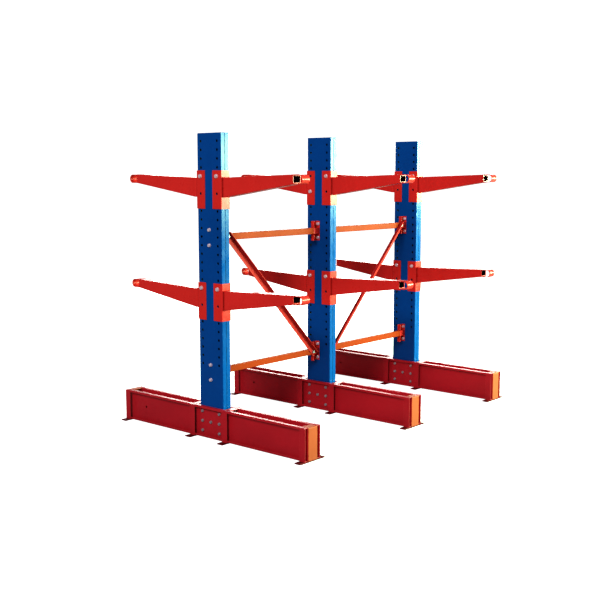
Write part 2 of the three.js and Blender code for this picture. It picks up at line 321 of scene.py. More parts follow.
def punched(bm, outer, inner, i, holes, levels, skins, place, hollow, count=24):
    """The flat segment i of a swept sheet, with its holes."""
    inside = bm.faces.layers.float["inside"]
    start = Vector(outer[i])
    along = Vector(outer[i + 1]) - start
    length = along.length
    along.normalize()
    across = Vector(inner[i]) - start
    lines = [0.0] + between([h[1] for h in holes], 0.0, length, length)[1:-1] + [length]
    rings = []
    for depth, grid in ((Vector((0, 0)), skins[0]), (across, skins[1])):

        def vertex(s, z):
            at = start + along * s + depth
            return bm.verts.new(place(at.x, at.y, z))

        mesh = [
            [grid[c][i]] + [vertex(s, z) for s in lines[1:-1]] + [grid[c][i + 1]]
            for c, z in enumerate(levels)
        ]
        rings.append([])
        for c in range(len(levels) - 1):
            for k in range(len(lines) - 1):
                corners = (mesh[c][k + 1], mesh[c + 1][k + 1], mesh[c + 1][k], mesh[c][k])
                hole = [
                    h for h in holes
                    if lines[k] <= h[1] <= lines[k + 1] and levels[c] < h[2] < levels[c + 1]
                ]
                dark = float(hollow and grid is skins[1])
                if not hole:
                    bm.faces.new(corners)[inside] = dark
                    continue
                _, s, z, r = hole[0]
                turns = [2 * math.pi * j / count for j in range(count)]
                ring = [vertex(s + r * math.cos(t), z + r * math.sin(t)) for t in turns]
                quarter = count // 4
                for side in range(4):
                    first = quarter * side - quarter // 2
                    arc = [ring[j % count] for j in range(first + quarter, first - 1, -1)]
                    bm.faces.new([corners[side], corners[(side + 1) % 4]] + arc)[inside] = dark
                rings[-1].append(ring)
    for near, far in zip(*rings):
        for j in range(count):
            n = (j + 1) % count
            bm.faces.new((near[j], near[n], far[n], far[j]))


def loft(rings, inside_from=None):
    """Closed rings of points joined in order, with both ends capped. The spans from inside_from on
    are marked as inside."""
    if inside_from is None:
        inside_from = len(rings)
    bm = bmesh.new()
    inside = bm.faces.layers.float.new("inside")
    rows = [[bm.verts.new(p) for p in ring] for ring in rings]
    for i, (a, b) in enumerate(zip(rows, rows[1:])):
        for k in range(len(a)):
            n = (k + 1) % len(a)
            bm.faces.new((a[k], a[n], b[n], b[k]))[inside] = float(i >= inside_from)
    bm.faces.new(rows[0])
    bm.faces.new(rows[-1])[inside] = float(len(rows) > inside_from)
    return bm


def rounded_ring(half_a, low_b, high_b, radius, steps=4):
    """A rounded rectangle in (a, b), centred on a = 0."""
    points = []
    corners = ((1, high_b, 0), (-1, high_b, 90), (-1, low_b, 180), (1, low_b, 270))
    for side, b, start in corners:
        cb = b - radius if b == high_b else b + radius
        for k in range(steps + 1):
            t = math.radians(start + 90 * k / steps)
            points.append((side * (half_a - radius) + radius * math.cos(t), cb + radius * math.sin(t)))
    return points


def bead(path, width, up, ripple=3.0, closed=False):
    """A rippled weld bead along a path in millimetres; up points out of the corner it fills."""
    bm = bmesh.new()
    points = [Vector(p) for p in path]
    pairs = list(zip(points, points[1:] + points[:1])) if closed else list(zip(points, points[1:]))
    stations = []
    for a, b in pairs:
        count = max(2, int((b - a).length / ripple) * 2)
        stations += [(a.lerp(b, k / count), (b - a).normalized()) for k in range(count)]
    if not closed:
        stations.append((points[-1], (points[-1] - points[-2]).normalized()))
    rows = []
    total = len(stations)
    for k, (centre, along) in enumerate(stations):
        outward = Vector(up(centre) if callable(up) else up).normalized()
        side = along.cross(outward).normalized()
        swell = 1.0 if k % 2 else 0.84
        if not closed:
            swell *= min(1.0, 0.35 + 0.3 * min(k, total - 1 - k))
        row = []
        for j in range(8):
            t = 2 * math.pi * j / 8
            offset = side * math.cos(t) * width / 2 + outward * math.sin(t) * width * 0.36
            row.append(bm.verts.new(centre + offset * swell))
        rows.append(row)
    spans = list(zip(rows, rows[1:] + rows[:1])) if closed else list(zip(rows, rows[1:]))
    for a, b in spans:
        for j in range(8):
            n = (j + 1) % 8
            bm.faces.new((a[j], a[n], b[n], b[j]))
    if not closed:
        bm.faces.new(rows[0])
        bm.faces.new(rows[-1])
    return bm


# ---------------------------------------------------------------- materials
class Nodes:
    """A small helper that adds and links shader nodes."""

    def __init__(self, name):
        self.material = bpy.data.materials.new(name)
        self.material.use_nodes = True
        self.tree = self.material.node_tree
        self.tree.nodes.clear()
        self.shader = self.add("ShaderNodeBsdfPrincipled")
        output = self.add("ShaderNodeOutputMaterial")
        self.link(self.shader.outputs[0], output.inputs["Surface"])
        self.position = self.add("ShaderNodeNewGeometry").outputs["Position"]

    def add(self, kind, **values):
        node = self.tree.nodes.new(kind)
        for key, value in values.items():
            setattr(node, key, value)
        return node

    def link(self, a, b):
        self.tree.links.new(a, b)

    def noise(self, scale, detail=4.0, roughness=0.55, stretch=None):
        node = self.add("ShaderNodeTexNoise")
        node.inputs["Scale"].default_value = scale
        node.inputs["Detail"].default_value = detail
        node.inputs["Roughness"].default_value = roughness
        source = self.position
        if stretch:
            mapping = self.add("ShaderNodeMapping")
            mapping.inputs["Scale"].default_value = stretch
            self.link(self.position, mapping.inputs["Vector"])
            source = mapping.outputs[0]
        self.link(source, node.inputs["Vector"])
        return node.outputs["Fac"]

    def ramp(self, value, low, high, out_low=0.0, out_high=1.0):
        node = self.add("ShaderNodeMapRange")
        node.inputs["From Min"].default_value = low
        node.inputs["From Max"].default_value = high
        node.inputs["To Min"].default_value = out_low
        node.inputs["To Max"].default_value = out_high
        self.link(value, node.inputs["Value"])
        return node.outputs[0]

    def math(self, operation, a, b):
        node = self.add("ShaderNodeMath", operation=operation)
        for socket, value in zip(node.inputs, (a, b)):
            if isinstance(value, (int, float)):
                socket.default_value = value
            else:
                self.link(value, socket)
        return node.outputs[0]

    def mix(self, factor, a, b):
        node = self.add("ShaderNodeMix", data_type="RGBA")
        for socket, value in ((node.inputs[0], factor), (node.inputs[6], a), (node.inputs[7], b)):
            if isinstance(value, (int, float)):
                socket.default_value = value
            elif isinstance(value, tuple):
                socket.default_value = (*value, 1.0)
            else:
                self.link(value, socket)
        return node.outputs[2]

    def bump(self, height, distance, strength=1.0, after=None):
        node = self.add("ShaderNodeBump")
        node.inputs["Strength"].default_value = strength
        node.inputs["Distance"].default_value = distance
        self.link(height, node.inputs["Height"])
        if after is not None:
            self.link(after, node.inputs["Normal"])
        return node.outputs[0]


def shade(colour, factor):
    return tuple(min(1.0, c * factor) for c in colour)


def paint(name, colour, worn, roughness=0.36, low_darkening_weight=0.5, specular=0.22):
    """Satin stove paint: slow drifts of tone, scuffs, orange peel, thin worn edges, darker and rougher
    towards the floor. Faces marked as inside are near-black and matt: painted shade."""
    n = Nodes(name)
    drift = n.ramp(n.noise(2.3, 3.0), 0.35, 0.65)
    base = n.mix(drift, shade(colour, 0.93), shade(colour, 1.06))
    clouds = n.ramp(n.noise(24.0, 5.0, 0.6), 0.46, 0.74)
    base = n.mix(n.math("MULTIPLY", clouds, 0.16), base, shade(colour, 0.72))

    scuffs = n.ramp(n.noise(60.0, 6.0, 0.7, stretch=(1.0, 1.0, 0.18)), 0.66, 0.72)
    base = n.mix(n.math("MULTIPLY", scuffs, 0.22), base, worn)

    edge = n.add("ShaderNodeAttribute", attribute_name="edge").outputs["Fac"]
    patchy = n.ramp(n.noise(85.0, 5.0, 0.65), 0.42, 0.62)
    wear = n.math("MULTIPLY", edge, n.math("MULTIPLY_ADD", patchy, 0.5))
    base = n.mix(wear, base, worn)

    height = n.add("ShaderNodeSeparateXYZ")
    n.link(n.position, height.inputs[0])
    # Darker and rougher towards the floor, in noisy patches.
    low = n.ramp(height.outputs["Z"], 0.0, 0.22, 1.0, 0.0)
    low_darkening = n.math("MULTIPLY", n.math("MULTIPLY", low, low), n.ramp(n.noise(18.0, 6.0, 0.7), 0.35, 0.75))
    base = n.mix(n.math("MULTIPLY", low_darkening, low_darkening_weight), base, shade(colour, 0.45))
    inside = n.add("ShaderNodeAttribute", attribute_name="inside").outputs["Fac"]
    # Faces marked as inside are mixed to a near-black tone: painted shade inside the hollows.
    base = n.mix(inside, base, INSIDE_PAINTED_SHADE)
    n.link(base, n.shader.inputs["Base Color"])

    gloss = n.ramp(n.noise(11.0, 5.0, 0.65), 0.3, 0.7, roughness - 0.05, roughness + 0.09)
    gloss = n.math("ADD", gloss, n.math("MULTIPLY", scuffs, 0.16))
    gloss = n.math("ADD", gloss, n.math("MULTIPLY", low_darkening, 0.25))
    n.link(n.math("ADD", gloss, n.math("MULTIPLY", inside, 0.7)), n.shader.inputs["Roughness"])

    peel = n.bump(n.noise(620.0, 2.0, 0.5), 0.00012, 0.55)
    waves = n.bump(n.noise(9.0, 2.0, 0.5), 0.0012, 0.35, after=peel)
    n.link(waves, n.shader.inputs["Normal"])
    n.shader.inputs["Metallic"].default_value = 0.0
    n.shader.inputs["Specular IOR Level"].default_value = specular
    return n.material


def zinc_plate(name, tone_factor=1.0):
    """Zinc plate: milky spangle, faint straw tints, brighter edges and a fine grain."""
    n = Nodes(name)
    spangle = n.ramp(n.noise(240.0, 4.0, 0.6), 0.35, 0.7)
    dark = shade((0.66, 0.57, 0.61), tone_factor)
    light = shade((0.92, 0.80, 0.83), tone_factor)
    straw = shade((0.80, 0.68, 0.52), tone_factor)
    worn = shade((0.95, 0.86, 0.90), tone_factor)
    tone = n.mix(spangle, dark, light)
    tint = n.ramp(n.noise(35.0, 3.0, 0.5), 0.5, 0.72)
    tone = n.mix(n.math("MULTIPLY", tint, 0.35), tone, straw)
    edge = n.add("ShaderNodeAttribute", attribute_name="edge").outputs["Fac"]
    tone = n.mix(n.math("MULTIPLY", edge, 0.4), tone, worn)
    n.link(tone, n.shader.inputs["Base Color"])
    n.link(n.ramp(spangle, 0.0, 1.0, 0.30, 0.46), n.shader.inputs["Roughness"])
    n.link(n.bump(n.noise(900.0, 3.0, 0.6), 0.00008, 0.5), n.shader.inputs["Normal"])
    n.shader.inputs["Metallic"].default_value = 0.55
    return n.material


blue = paint(
    "column_blue", colour=(0.001, 0.060, 0.240), worn=(0.006, 0.130, 0.400),
    roughness=0.20, specular=0.08,
)
red = paint(
    "arm_red", colour=(0.560, 0.026, 0.020), worn=(0.720, 0.070, 0.040),
    roughness=0.28, specular=0.10,
)
# A darker copy of the arm red for the bases: painted shade for the dimmer light low on the rack.
base_shaded_red = paint(
    "base_painted_shade_red", colour=(0.390, 0.013, 0.021), worn=(0.520, 0.050, 0.040),
    roughness=0.34, low_darkening_weight=0.6,
)
# A more orange copy of the red paint for the +X end plates: painted light, the key light's glow on them.
end_plate_lit_red = paint(
    "end_plate_painted_light_red", colour=(0.400, 0.066, 0.024), worn=(0.600, 0.090, 0.040),
    roughness=0.40, low_darkening_weight=0.4, specular=0.08,
)
# A much darker copy of the red paint for the foot bars: painted shade for the shadow they lie in at the
# floor.
foot_shaded_red = paint(
    "foot_bar_painted_shade_red", colour=(0.120, 0.008, 0.010), worn=(0.300, 0.030, 0.030),
    roughness=0.45, low_darkening_weight=0.8, specular=0.08,
)
orange = paint(
    "brace_orange", colour=(0.300, 0.030, 0.006), worn=(0.480, 0.060, 0.020),
    roughness=0.42, specular=0.02,
)
brace_red = paint(
    "brace_red", colour=(0.420, 0.023, 0.020), worn=(0.580, 0.060, 0.040),
    roughness=0.42, specular=0.03,
)
zinc = zinc_plate("zinc_plate")
# A darker copy of the zinc for the base and diagonal bolts: painted shade.
shaded_zinc = zinc_plate("zinc_plate_painted_shade", tone_factor=0.45)


# ---------------------------------------------------------------- columns
def column_mesh():
    """One cold-formed C with two lines of round punched holes; its web faces -Y. Its slanting toes
    leave a groove along the seam, closed at the bottom."""
    corners = [
        (-COLUMN_HALF, -SEAM_GROOVE / 2), (-COLUMN_HALF, -COLUMN_FACE),
        (COLUMN_HALF, -COLUMN_FACE), (COLUMN_HALF, -SEAM_GROOVE / 2),
    ]
    steps = 6
    outer, inner = fold(corners, COLUMN_WALL, COLUMN_RADIUS, steps)
    inner[0].y = inner[-1].y = SEAM_LAP
    web = 1 + steps
    web_start = outer[web].x
    holes = []
    for row in range(HOLE_ROWS):
        for x in (-HOLE_LINE, HOLE_LINE):
            holes.append((web, x - web_start, TOP_HOLE - row * HOLE_PITCH, HOLE_RADIUS))
    # The inner skin and the slanting toes are marked as inside, so the paint darkens them as painted
    # shade.
    bm = sweep(outer, inner, BASE_BOTTOM, COLUMN_TOP, holes, hollow=True)
    return make(bm, "column_profile", 1.0, 2)


def seam_mesh():
    """Stitch welds that join the two profiles, on both narrow sides, clear of the saddles."""
    spans = []
    z = FIRST_STITCH
    taken = []
    for row in ARM_ROWS.values():
        bolt = TOP_HOLE - row * HOLE_PITCH
        taken.append((bolt + SADDLE_BOTTOM - STITCH_CLEAR, bolt + SADDLE_TOP + STITCH_CLEAR))
    while z < COLUMN_TOP - LAST_STITCH_CLEAR:
        if not any(a < z + STITCH and z < b for a, b in taken):
            spans.append((z, z + STITCH))
        z += STITCH_PITCH
    spans.append((COLUMN_TOP - TOP_STITCH[0], COLUMN_TOP - TOP_STITCH[1]))
    parts = []
    for side in (-1, 1):
        x = side * (COLUMN_HALF - 0.6)
        for a, b in spans:
            path = [(x, 0, a), (x, 0, b)]
            parts.append(bead(path, width=SEAM_GROOVE + 3.0, up=(side, 0, 0), ripple=3.2))
    return make(join_meshes(parts), "seam_welds")


# ---------------------------------------------------------------- bases
def channel_mesh():
    """A base channel on the -Y side: a lipped channel on edge. Its flat straps over the lips come from
    strap_mesh().
    """
    y0, y2 = -WEB_INNER, -WEB_INNER - BASE_FLANGE
    length = BASE_HALF - END_PLATE - GAP
    corners = [
        (y2, BASE_TOP - BASE_LIP), (y2, BASE_TOP), (y0, BASE_TOP),
        (y0, BASE_BOTTOM), (y2, BASE_BOTTOM), (y2, BASE_BOTTOM + BASE_LIP),
    ]
    corners.reverse()
    steps = 5
    outer, inner = fold(corners, BASE_WALL, BASE_BEND, steps)
    web = 2 * (steps + 1)
    hole = (web, BASE_MIDDLE - outer[web].y, SPARE_HOLE, BASE_HOLE_RADIUS)
    bm = sweep(outer, inner, -length, length, [hole], place=lambda a, b, c: (c, a, b))
    return make(bm, "base_channel", 0.9, 2)


def strap_mesh():
    """The four stiffener straps across a channel's lips."""
    y = -WEB_INNER - BASE_FLANGE
    parts = [
        box((x - STRAP_HALF, y - STRAP_WALL, BASE_BOTTOM), (x + STRAP_HALF, y + STRAP_LAP, BASE_TOP))
        for x in STRAPS
    ]
    return make(join_meshes(parts), "base_straps", 1.3, 3)


def strap_weld_mesh():
    """Short fillet welds where the straps cross the lips."""
    y = -WEB_INNER - BASE_FLANGE
    parts = []
    lips = ((BASE_BOTTOM + 1, BASE_BOTTOM + BASE_LIP), (BASE_TOP - BASE_LIP, BASE_TOP - 1))
    for x in STRAPS:
        for side in (-1, 1):
            edge = x + side * STRAP_HALF
            if abs(edge) > BASE_HALF - END_PLATE - 4:
                continue
            for a, b in lips:
                path = [(edge, y, a), (edge, y, b)]
                parts.append(bead(path, width=6.0, up=(side, -1, 0), ripple=2.6))
    return make(join_meshes(parts), "strap_welds")


def tie_mesh():
    """Two plates that join the webs at the top, close beside the column."""
    half = WEB_INNER - GAP
    plates = [
        box((x - FOOT_WIDTH / 2, -half, BASE_TOP - TIE_WALL), (x + FOOT_WIDTH / 2, half, BASE_TOP))
        for x in STRAPS[1:3]
    ]
    return make(join_meshes(plates), "base_ties", 1.2, 3)


def tie_weld_mesh():
    """The welds along both ends of the tie plates."""
    parts = []
    z = BASE_TOP - 1
    reach = FOOT_WIDTH / 2 - TIE_WELD_MARGIN
    for x in STRAPS[1:3]:
        for side in (-1, 1):
            y = side * (WEB_INNER - GAP)
            path = [(x - reach, y, z), (x + reach, y, z)]
            parts.append(bead(path, width=6.5, up=(0, 0, 1), ripple=2.8))
    return make(join_meshes(parts), "tie_welds")


def end_plate_mesh():
    """The plate over a base's +X end, its top folded back between the webs."""
    half = WEB_INNER + BASE_WALL
    folded = BASE_HALF - END_PLATE - FOOT_WIDTH
    corners = [(BASE_HALF, BASE_BOTTOM), (BASE_HALF, BASE_TOP), (folded, BASE_TOP)]
    outer, inner = fold(corners, END_PLATE, END_PLATE_BEND)
    bm = bmesh.new()
    narrow = WEB_INNER - GAP
    rows = []
    for sign in (-1, 1):
        row = []
        for o, i in zip(outer, inner):
            wide = half if o.x > BASE_HALF - END_PLATE else narrow
            row.append([bm.verts.new((p.x, sign * wide, p.y)) for p in (o, i)])
        rows.append(row)
    for k in range(len(outer) - 1):
        bm.faces.new((rows[0][k][0], rows[0][k + 1][0], rows[1][k + 1][0], rows[1][k][0]))
        bm.faces.new((rows[0][k][1], rows[0][k + 1][1], rows[1][k + 1][1], rows[1][k][1]))
        for row in rows:
            bm.faces.new((row[k][0], row[k + 1][0], row[k + 1][1], row[k][1]))
    for k in (0, -1):
        bm.faces.new((rows[0][k][0], rows[0][k][1], rows[1][k][1], rows[1][k][0]))
    return make(bm, "base_end_plate", 1.0, 2)


def foot_mesh():
    """A flat foot bar with sheared, slightly rounded ends."""
    low = (-FOOT_WIDTH / 2, -FOOT_REACH, 0)
    return make(box(low, (FOOT_WIDTH / 2, FOOT_REACH, FOOT_TOP)), "foot_bar", 1.2, 3)


def foot_weld_mesh():
    """Fillet welds along the foot bars' edges, under the channels' outer lips."""
    parts = []
    reach = FOOT_WIDTH / 2 - FOOT_WELD_MARGIN
    for x in STRAPS:
        for side in (-1, 1):
            y = side * (WEB_INNER + BASE_FLANGE + STRAP_WALL)
            path = [(x - reach, y, FOOT_TOP), (x + reach, y, FOOT_TOP)]
            parts.append(bead(path, width=7.0, up=(0, side, 1)))
    return make(join_meshes(parts), "foot_welds")


# ---------------------------------------------------------------- arms
def saddle_mesh():
    """The bent saddle of an arm on the +X side, with its two pairs of bolt holes."""
    back = SADDLE_WEB - SADDLE_REACH
    corners = [
        (back, -SADDLE_OUTER), (SADDLE_WEB, -SADDLE_OUTER),
        (SADDLE_WEB, SADDLE_OUTER), (back, SADDLE_OUTER),
    ]
    steps = 7
    outer, inner = fold(corners, SADDLE_WALL, COLUMN_RADIUS + 1, steps)
    far = len(outer) - 2
    far_start = outer[far].x
    holes = []
    for z in (0.0, LOWER_SADDLE_HOLE):
        holes.append((0, HOLE_LINE - back, z, HOLE_RADIUS))
        holes.append((far, far_start - HOLE_LINE, z, HOLE_RADIUS))
    return make(sweep(outer, inner, SADDLE_BOTTOM, SADDLE_TOP, holes), "arm_saddle", 1.1, 3)


def beam_mesh():
    """The tapered box of an arm, open at its end through a rectangular window."""
    def ring(x, low, high, half, radius):
        return [(x, a, b) for a, b in rounded_ring(half, low, high, radius)]

    wall = BEAM_WALL
    start = SADDLE_WEB - 0.5
    kink = ARM_FLAT_END
    low_end, high_end = ARM_END_BOTTOM, ARM_END_TOP

    def top_at(x):
        return ARM_ROOT_TOP + (high_end - ARM_ROOT_TOP) * (x - start) / (ARM_END - start)

    def low_at(x):
        return ARM_ROOT_BOTTOM + (low_end - ARM_ROOT_BOTTOM) * max(0.0, x - kink) / (ARM_END - kink)

    near = ARM_END - 1.4
    deep = ARM_END - 8.0
    window = (low_end + RIM_HEIGHT, high_end - RIM_HEIGHT, ARM_HALF - RIM_SIDE)
    rings = [
        ring(start, ARM_ROOT_BOTTOM, ARM_ROOT_TOP, ARM_HALF, BEAM_CORNER),
        ring(kink - 2, ARM_ROOT_BOTTOM, top_at(kink - 2), ARM_HALF, BEAM_CORNER),
        ring(kink + 3, low_at(kink + 3), top_at(kink + 3), ARM_HALF, BEAM_CORNER),
        ring(near, low_at(near), top_at(near), ARM_HALF, 4.0),
        ring(ARM_END - 0.4, low_end + 0.4, high_end - 0.4, ARM_HALF - 0.4, 3.8),
        ring(ARM_END, low_end + 1.5, high_end - 1.5, ARM_HALF - 1.5, 3.0),
        ring(ARM_END, window[0] - 0.8, window[1] + 0.8, window[2] + 0.8, 2.6),
        ring(ARM_END - 0.8, window[0], window[1], window[2], 2.4),
        ring(deep, window[0], window[1], window[2], 2.4),
        ring(deep - 0.1, low_at(deep) + wall, top_at(deep) - wall, ARM_HALF - wall, 2.0),
        ring(kink, ARM_ROOT_BOTTOM + wall, top_at(kink) - wall, ARM_HALF - wall, 2.0),
        ring(start + 1, ARM_ROOT_BOTTOM + wall, ARM_ROOT_TOP - wall, ARM_HALF - wall, 2.0),
    ]
    # From the end window inward the faces are marked as inside, which the paint turns near-black: painted
    # shade.
    return make(loft(rings, inside_from=7), "arm_beam")


def hoop_mesh():
    """The round-nosed strap hoop at an arm's tip."""
    middle = (ARM_END_TOP + ARM_END_BOTTOM) / 2
    radius = (ARM_END_TOP - ARM_END_BOTTOM) / 2 - GAP
    root = ARM_END - HOOP_ROOT
    centre = Vector((HOOP_NOSE - radius, middle))
    outer = [Vector((root, middle - radius))]
    inner = [Vector((root, middle - radius + HOOP_WALL))]
    steps = 24
    for k in range(steps + 1):
        t = -math.pi / 2 + math.pi * k / steps
        spoke = Vector((math.cos(t), math.sin(t)))
        outer.append(centre + spoke * radius)
        inner.append(centre + spoke * (radius - HOOP_WALL))
    outer.append(Vector((root, middle + radius)))
    inner.append(Vector((root, middle + radius - HOOP_WALL)))
    bm = sweep(outer, inner, -ARM_HALF, ARM_HALF, place=lambda a, b, c: (a, c, b))
    return make(bm, "arm_hoop", 1.4, 3)


def arm_weld_mesh():
    """The fillet round the beam's root and the two welds that hold the hoop."""
    x = SADDLE_WEB + 0.4
    root = rounded_ring(ARM_HALF, ARM_ROOT_BOTTOM, ARM_ROOT_TOP, BEAM_CORNER, 2)
    ring = [(x, a, b) for a, b in root]
    centre = Vector((x, 0, (ARM_ROOT_BOTTOM + ARM_ROOT_TOP) / 2))

    def outward(p):
        away = p - centre
        if abs(abs(p.y) - ARM_HALF) < 1.0:
            return (0.9, math.copysign(1, away.y), 0)
        return (0.9, 0, math.copysign(1, away.z))

    parts = [bead(ring, width=8.0, up=outward, ripple=3.4, closed=True)]
    reach = ARM_HALF - 3
    for z, up in ((ARM_END_TOP - 0.6, 1), (ARM_END_BOTTOM + 0.6, -1)):
        path = [(ARM_END, -reach, z), (ARM_END, reach, z)]
        parts.append(bead(path, width=5.0, up=(0, 0, up), ripple=2.8))
    return make(join_meshes(parts), "arm_welds")


# ---------------------------------------------------------------- fasteners
def hexagon(flats, t):
    """Distance to a hexagon's side, from its centre, at angle t."""
    wedge = math.radians(60)
    return flats / 2 / math.cos((t + wedge / 2) % wedge - wedge / 2)


def hex_rings(flats, low, high, chamfer_low, chamfer_high):
    """Rings of a hexagonal prism with the round chamfers that turned bolt heads have."""
    count = 36
    slope = math.tan(HEAD_CHAMFER)
    flat_radius = flats / 2 * HEAD_FLAT

    def at(radius_of, z_of):
        ring = []
        for k in range(count):
            t = 2 * math.pi * k / count
            r = radius_of(t)
            ring.append((r * math.cos(t), z_of(r), r * math.sin(t)))
        return ring

    def side(t):
        return hexagon(flats, t)

    rings = []
    if chamfer_low:
        rings.append(at(lambda t: flat_radius, lambda r: low))
        rings.append(at(side, lambda r: low + (r - flat_radius) * slope))
    else:
        rings.append(at(side, lambda r: low))
    if chamfer_high:
        rings.append(at(side, lambda r: high - (r - flat_radius) * slope))
        rings.append(at(lambda t: flat_radius, lambda r: high))
    else:
        rings.append(at(side, lambda r: high))
    return rings


def turned(profile, count=28):
    """A turned piece about the Y axis, from (radius, y) points."""
    rings = []
    for r, y in profile:
        rings.append([
            (r * math.cos(2 * math.pi * k / count), y, r * math.sin(2 * math.pi * k / count))
            for k in range(count)
        ])
    return loft(rings)


def washer(low, high, radius, hole):
    """A flat washer with slightly broken outer edges."""
    bevel = 0.35
    return turned([
        (hole, low), (radius - bevel, low), (radius, low + bevel), (radius, high - bevel),
        (radius - bevel, high), (hole, high),
    ])


def bolt_mesh(name, grip_low, grip_high, flats, head, nut, out, size):
    """A bolt along Y: head and washer below grip_low, washer, nut and thread end above grip_high."""
    seat = grip_low - WASHER
    top = grip_high + WASHER
    thread = [(size, seat - 0.5), (size, top + nut - 0.5)]
    y = top + nut
    pitch = 1.6
    while y < top + nut + out - 1.5:
        thread += [(size, y), (size - 1.1, y + pitch / 2)]
        y += pitch
    thread += [(size - 0.4, y), (size - 1.8, y + 1.3)]
    washer_radius = flats * 0.615
    parts = [
        loft(hex_rings(flats, seat - head, seat, True, False)),
        washer(seat, grip_low, washer_radius, size + 0.6),
        turned(thread),
        washer(grip_high, top, washer_radius, size + 0.6),
        loft(hex_rings(flats, top, top + nut, True, True)),
    ]
    return make(join_meshes(parts), name, 0.35, 1, 26)


# ---------------------------------------------------------------- braces
def tube_mesh():
    """The rectangular tube of a horizontal brace, built from its first column's centre line. The
    ends stop at the cleats' outer flanges."""
    start = WEB_INNER + CLEAT_DEPTH - CLEAT_WALL
    end = SPACING - start
    back = BRACE_SIDE - BRACE_WIDTH
    middle = (BRACE_SIDE + back) / 2
    half = BRACE_WIDTH / 2
    rings = []
    for y in (start, start + 0.8, end - 0.8, end):
        rings.append([
            (middle + a, y, b)
            for a, b in rounded_ring(half, -BRACE_HALF_HEIGHT, BRACE_HALF_HEIGHT, BRACE_CORNER, 5)
        ])
    return make(loft(rings), "brace_tube")


def cleat_mesh():
    """The channel cleat on the near column's +Y side, open towards +X, and its tube stub."""
    back = BRACE_SIDE - CLEAT_WIDTH
    y0, y1 = WEB_INNER, WEB_INNER + CLEAT_DEPTH
    corners = [(BRACE_SIDE, y1), (back, y1), (back, y0), (BRACE_SIDE, y0)]
    outer, inner = fold(corners, CLEAT_WALL, CLEAT_BEND, 5)
    last = len(outer) - 2
    start = outer[last].x
    holes = [(last, -start, z, CLEAT_HOLE_RADIUS) for z in (-CLEAT_BOLT_RISE, CLEAT_BOLT_RISE)]
    channel = sweep(outer, inner, -CLEAT_HALF, CLEAT_HALF, holes)
    middle = BRACE_SIDE - BRACE_WIDTH / 2
    rings = []
    for y, swell in ((y0 + 2, 0.0), (y1 + 6, 0.15)):
        high = BRACE_HALF_HEIGHT + swell
        ring = rounded_ring(BRACE_WIDTH / 2 + swell, -high, high, BRACE_CORNER, 5)
        rings.append([(middle + a, y, b) for a, b in ring])
    stub = loft(rings)
    return make(join_meshes([channel, stub]), "brace_cleat", 0.9, 2, 50)


def cleat_weld_mesh():
    """The fillet where the tube enters the cleat's outer flange."""
    y = WEB_INNER + CLEAT_DEPTH + 0.5
    middle = BRACE_SIDE - BRACE_WIDTH / 2
    outline = rounded_ring(BRACE_WIDTH / 2, -BRACE_HALF_HEIGHT, BRACE_HALF_HEIGHT, BRACE_CORNER, 2)
    ring = [(middle + a, y, b) for a, b in outline]

    def outward(p):
        if abs(abs(p.z) - BRACE_HALF_HEIGHT) < 1.0:
            return (0, 0.9, math.copysign(1, p.z))
        return (math.copysign(1, p.x - middle), 0.9, 0)

    return make(bead(ring, width=6.0, up=outward, ripple=3.2, closed=True), "cleat_weld")


def diagonal_mesh():
    """The angle section of a diagonal, falling from the upper brace beside its first column to the
    lower brace beside the next. One leg lies on the braces, and the other, on top, stands out."""
    y0, z0 = COLUMN_FACE + DIAGONAL_BOLT, BRACE_LEVELS["upper"]
    y1, z1 = SPACING - y0, BRACE_LEVELS["lower"]
    span = math.hypot(y1 - y0, z1 - z0)
    slope = math.atan2(z1 - z0, y1 - y0)
    half = DIAGONAL_LEG / 2
    corners = [(0.0, -half), (0.0, half), (DIAGONAL_STAND, half)]
    corners.reverse()
    outer, inner = fold(corners, DIAGONAL_WALL, DIAGONAL_BEND, 5)
    lying = len(outer) - 2
    bm = sweep(
        outer, inner, -DIAGONAL_END, span + DIAGONAL_END,
        [(lying, half - DIAGONAL_BEND, s, DIAGONAL_HOLE_RADIUS) for s in (0.0, span)],
        place=lambda a, b, c: (a, c, b),
    )
    turn = Matrix.Rotation(slope, 4, "X")
    bmesh.ops.transform(bm, matrix=turn, verts=bm.verts)
    bmesh.ops.translate(bm, vec=(BRACE_SIDE + GAP, y0, z0), verts=bm.verts)
    return make(bm, "diagonal", 0.9, 2)


# ---------------------------------------------------------------- build
column = column_mesh()
seam = seam_mesh()
channel = channel_mesh()
straps = strap_mesh()
strap_welds = strap_weld_mesh()
ties = tie_mesh()
tie_welds = tie_weld_mesh()
end_plate = end_plate_mesh()
foot = foot_mesh()
foot_welds = foot_weld_mesh()
saddle = saddle_mesh()
beam = beam_mesh()
hoop = hoop_mesh()
arm_welds = arm_weld_mesh()
arm_bolt = bolt_mesh("arm_bolt", -SADDLE_OUTER, SADDLE_OUTER, **BOLTS["arm"])
base_grip = WEB_INNER + BASE_WALL
base_bolt = bolt_mesh("base_bolt", -base_grip, base_grip, **BOLTS["base"])
cleat_grip = WEB_INNER + CLEAT_WALL
BRACE_GRIPS = {1: (-COLUMN_FACE, cleat_grip), 2: (-cleat_grip, cleat_grip), 3: (-cleat_grip, COLUMN_FACE)}
brace_bolts = {
    n: bolt_mesh(f"brace_bolt_{n}", low, high, **BOLTS["brace"]) for n, (low, high) in BRACE_GRIPS.items()
}
cleat = cleat_mesh()
cleat_weld = cleat_weld_mesh()
tube = tube_mesh()
diagonal = diagonal_mesh()
TUBE_WALL = 3.2
diagonal_bolt = bolt_mesh("diagonal_bolt", -DIAGONAL_WALL, TUBE_WALL, **BOLTS["diagonal"])

HALF_TURN = math.pi
BASE_BOLTS = [(0.0, 0.0)] + [
    (x, z) for x in (-BASE_BOLT_LINE, BASE_BOLT_LINE) for z in (-BASE_BOLT_RISE, 0.0, BASE_BOLT_RISE)
]

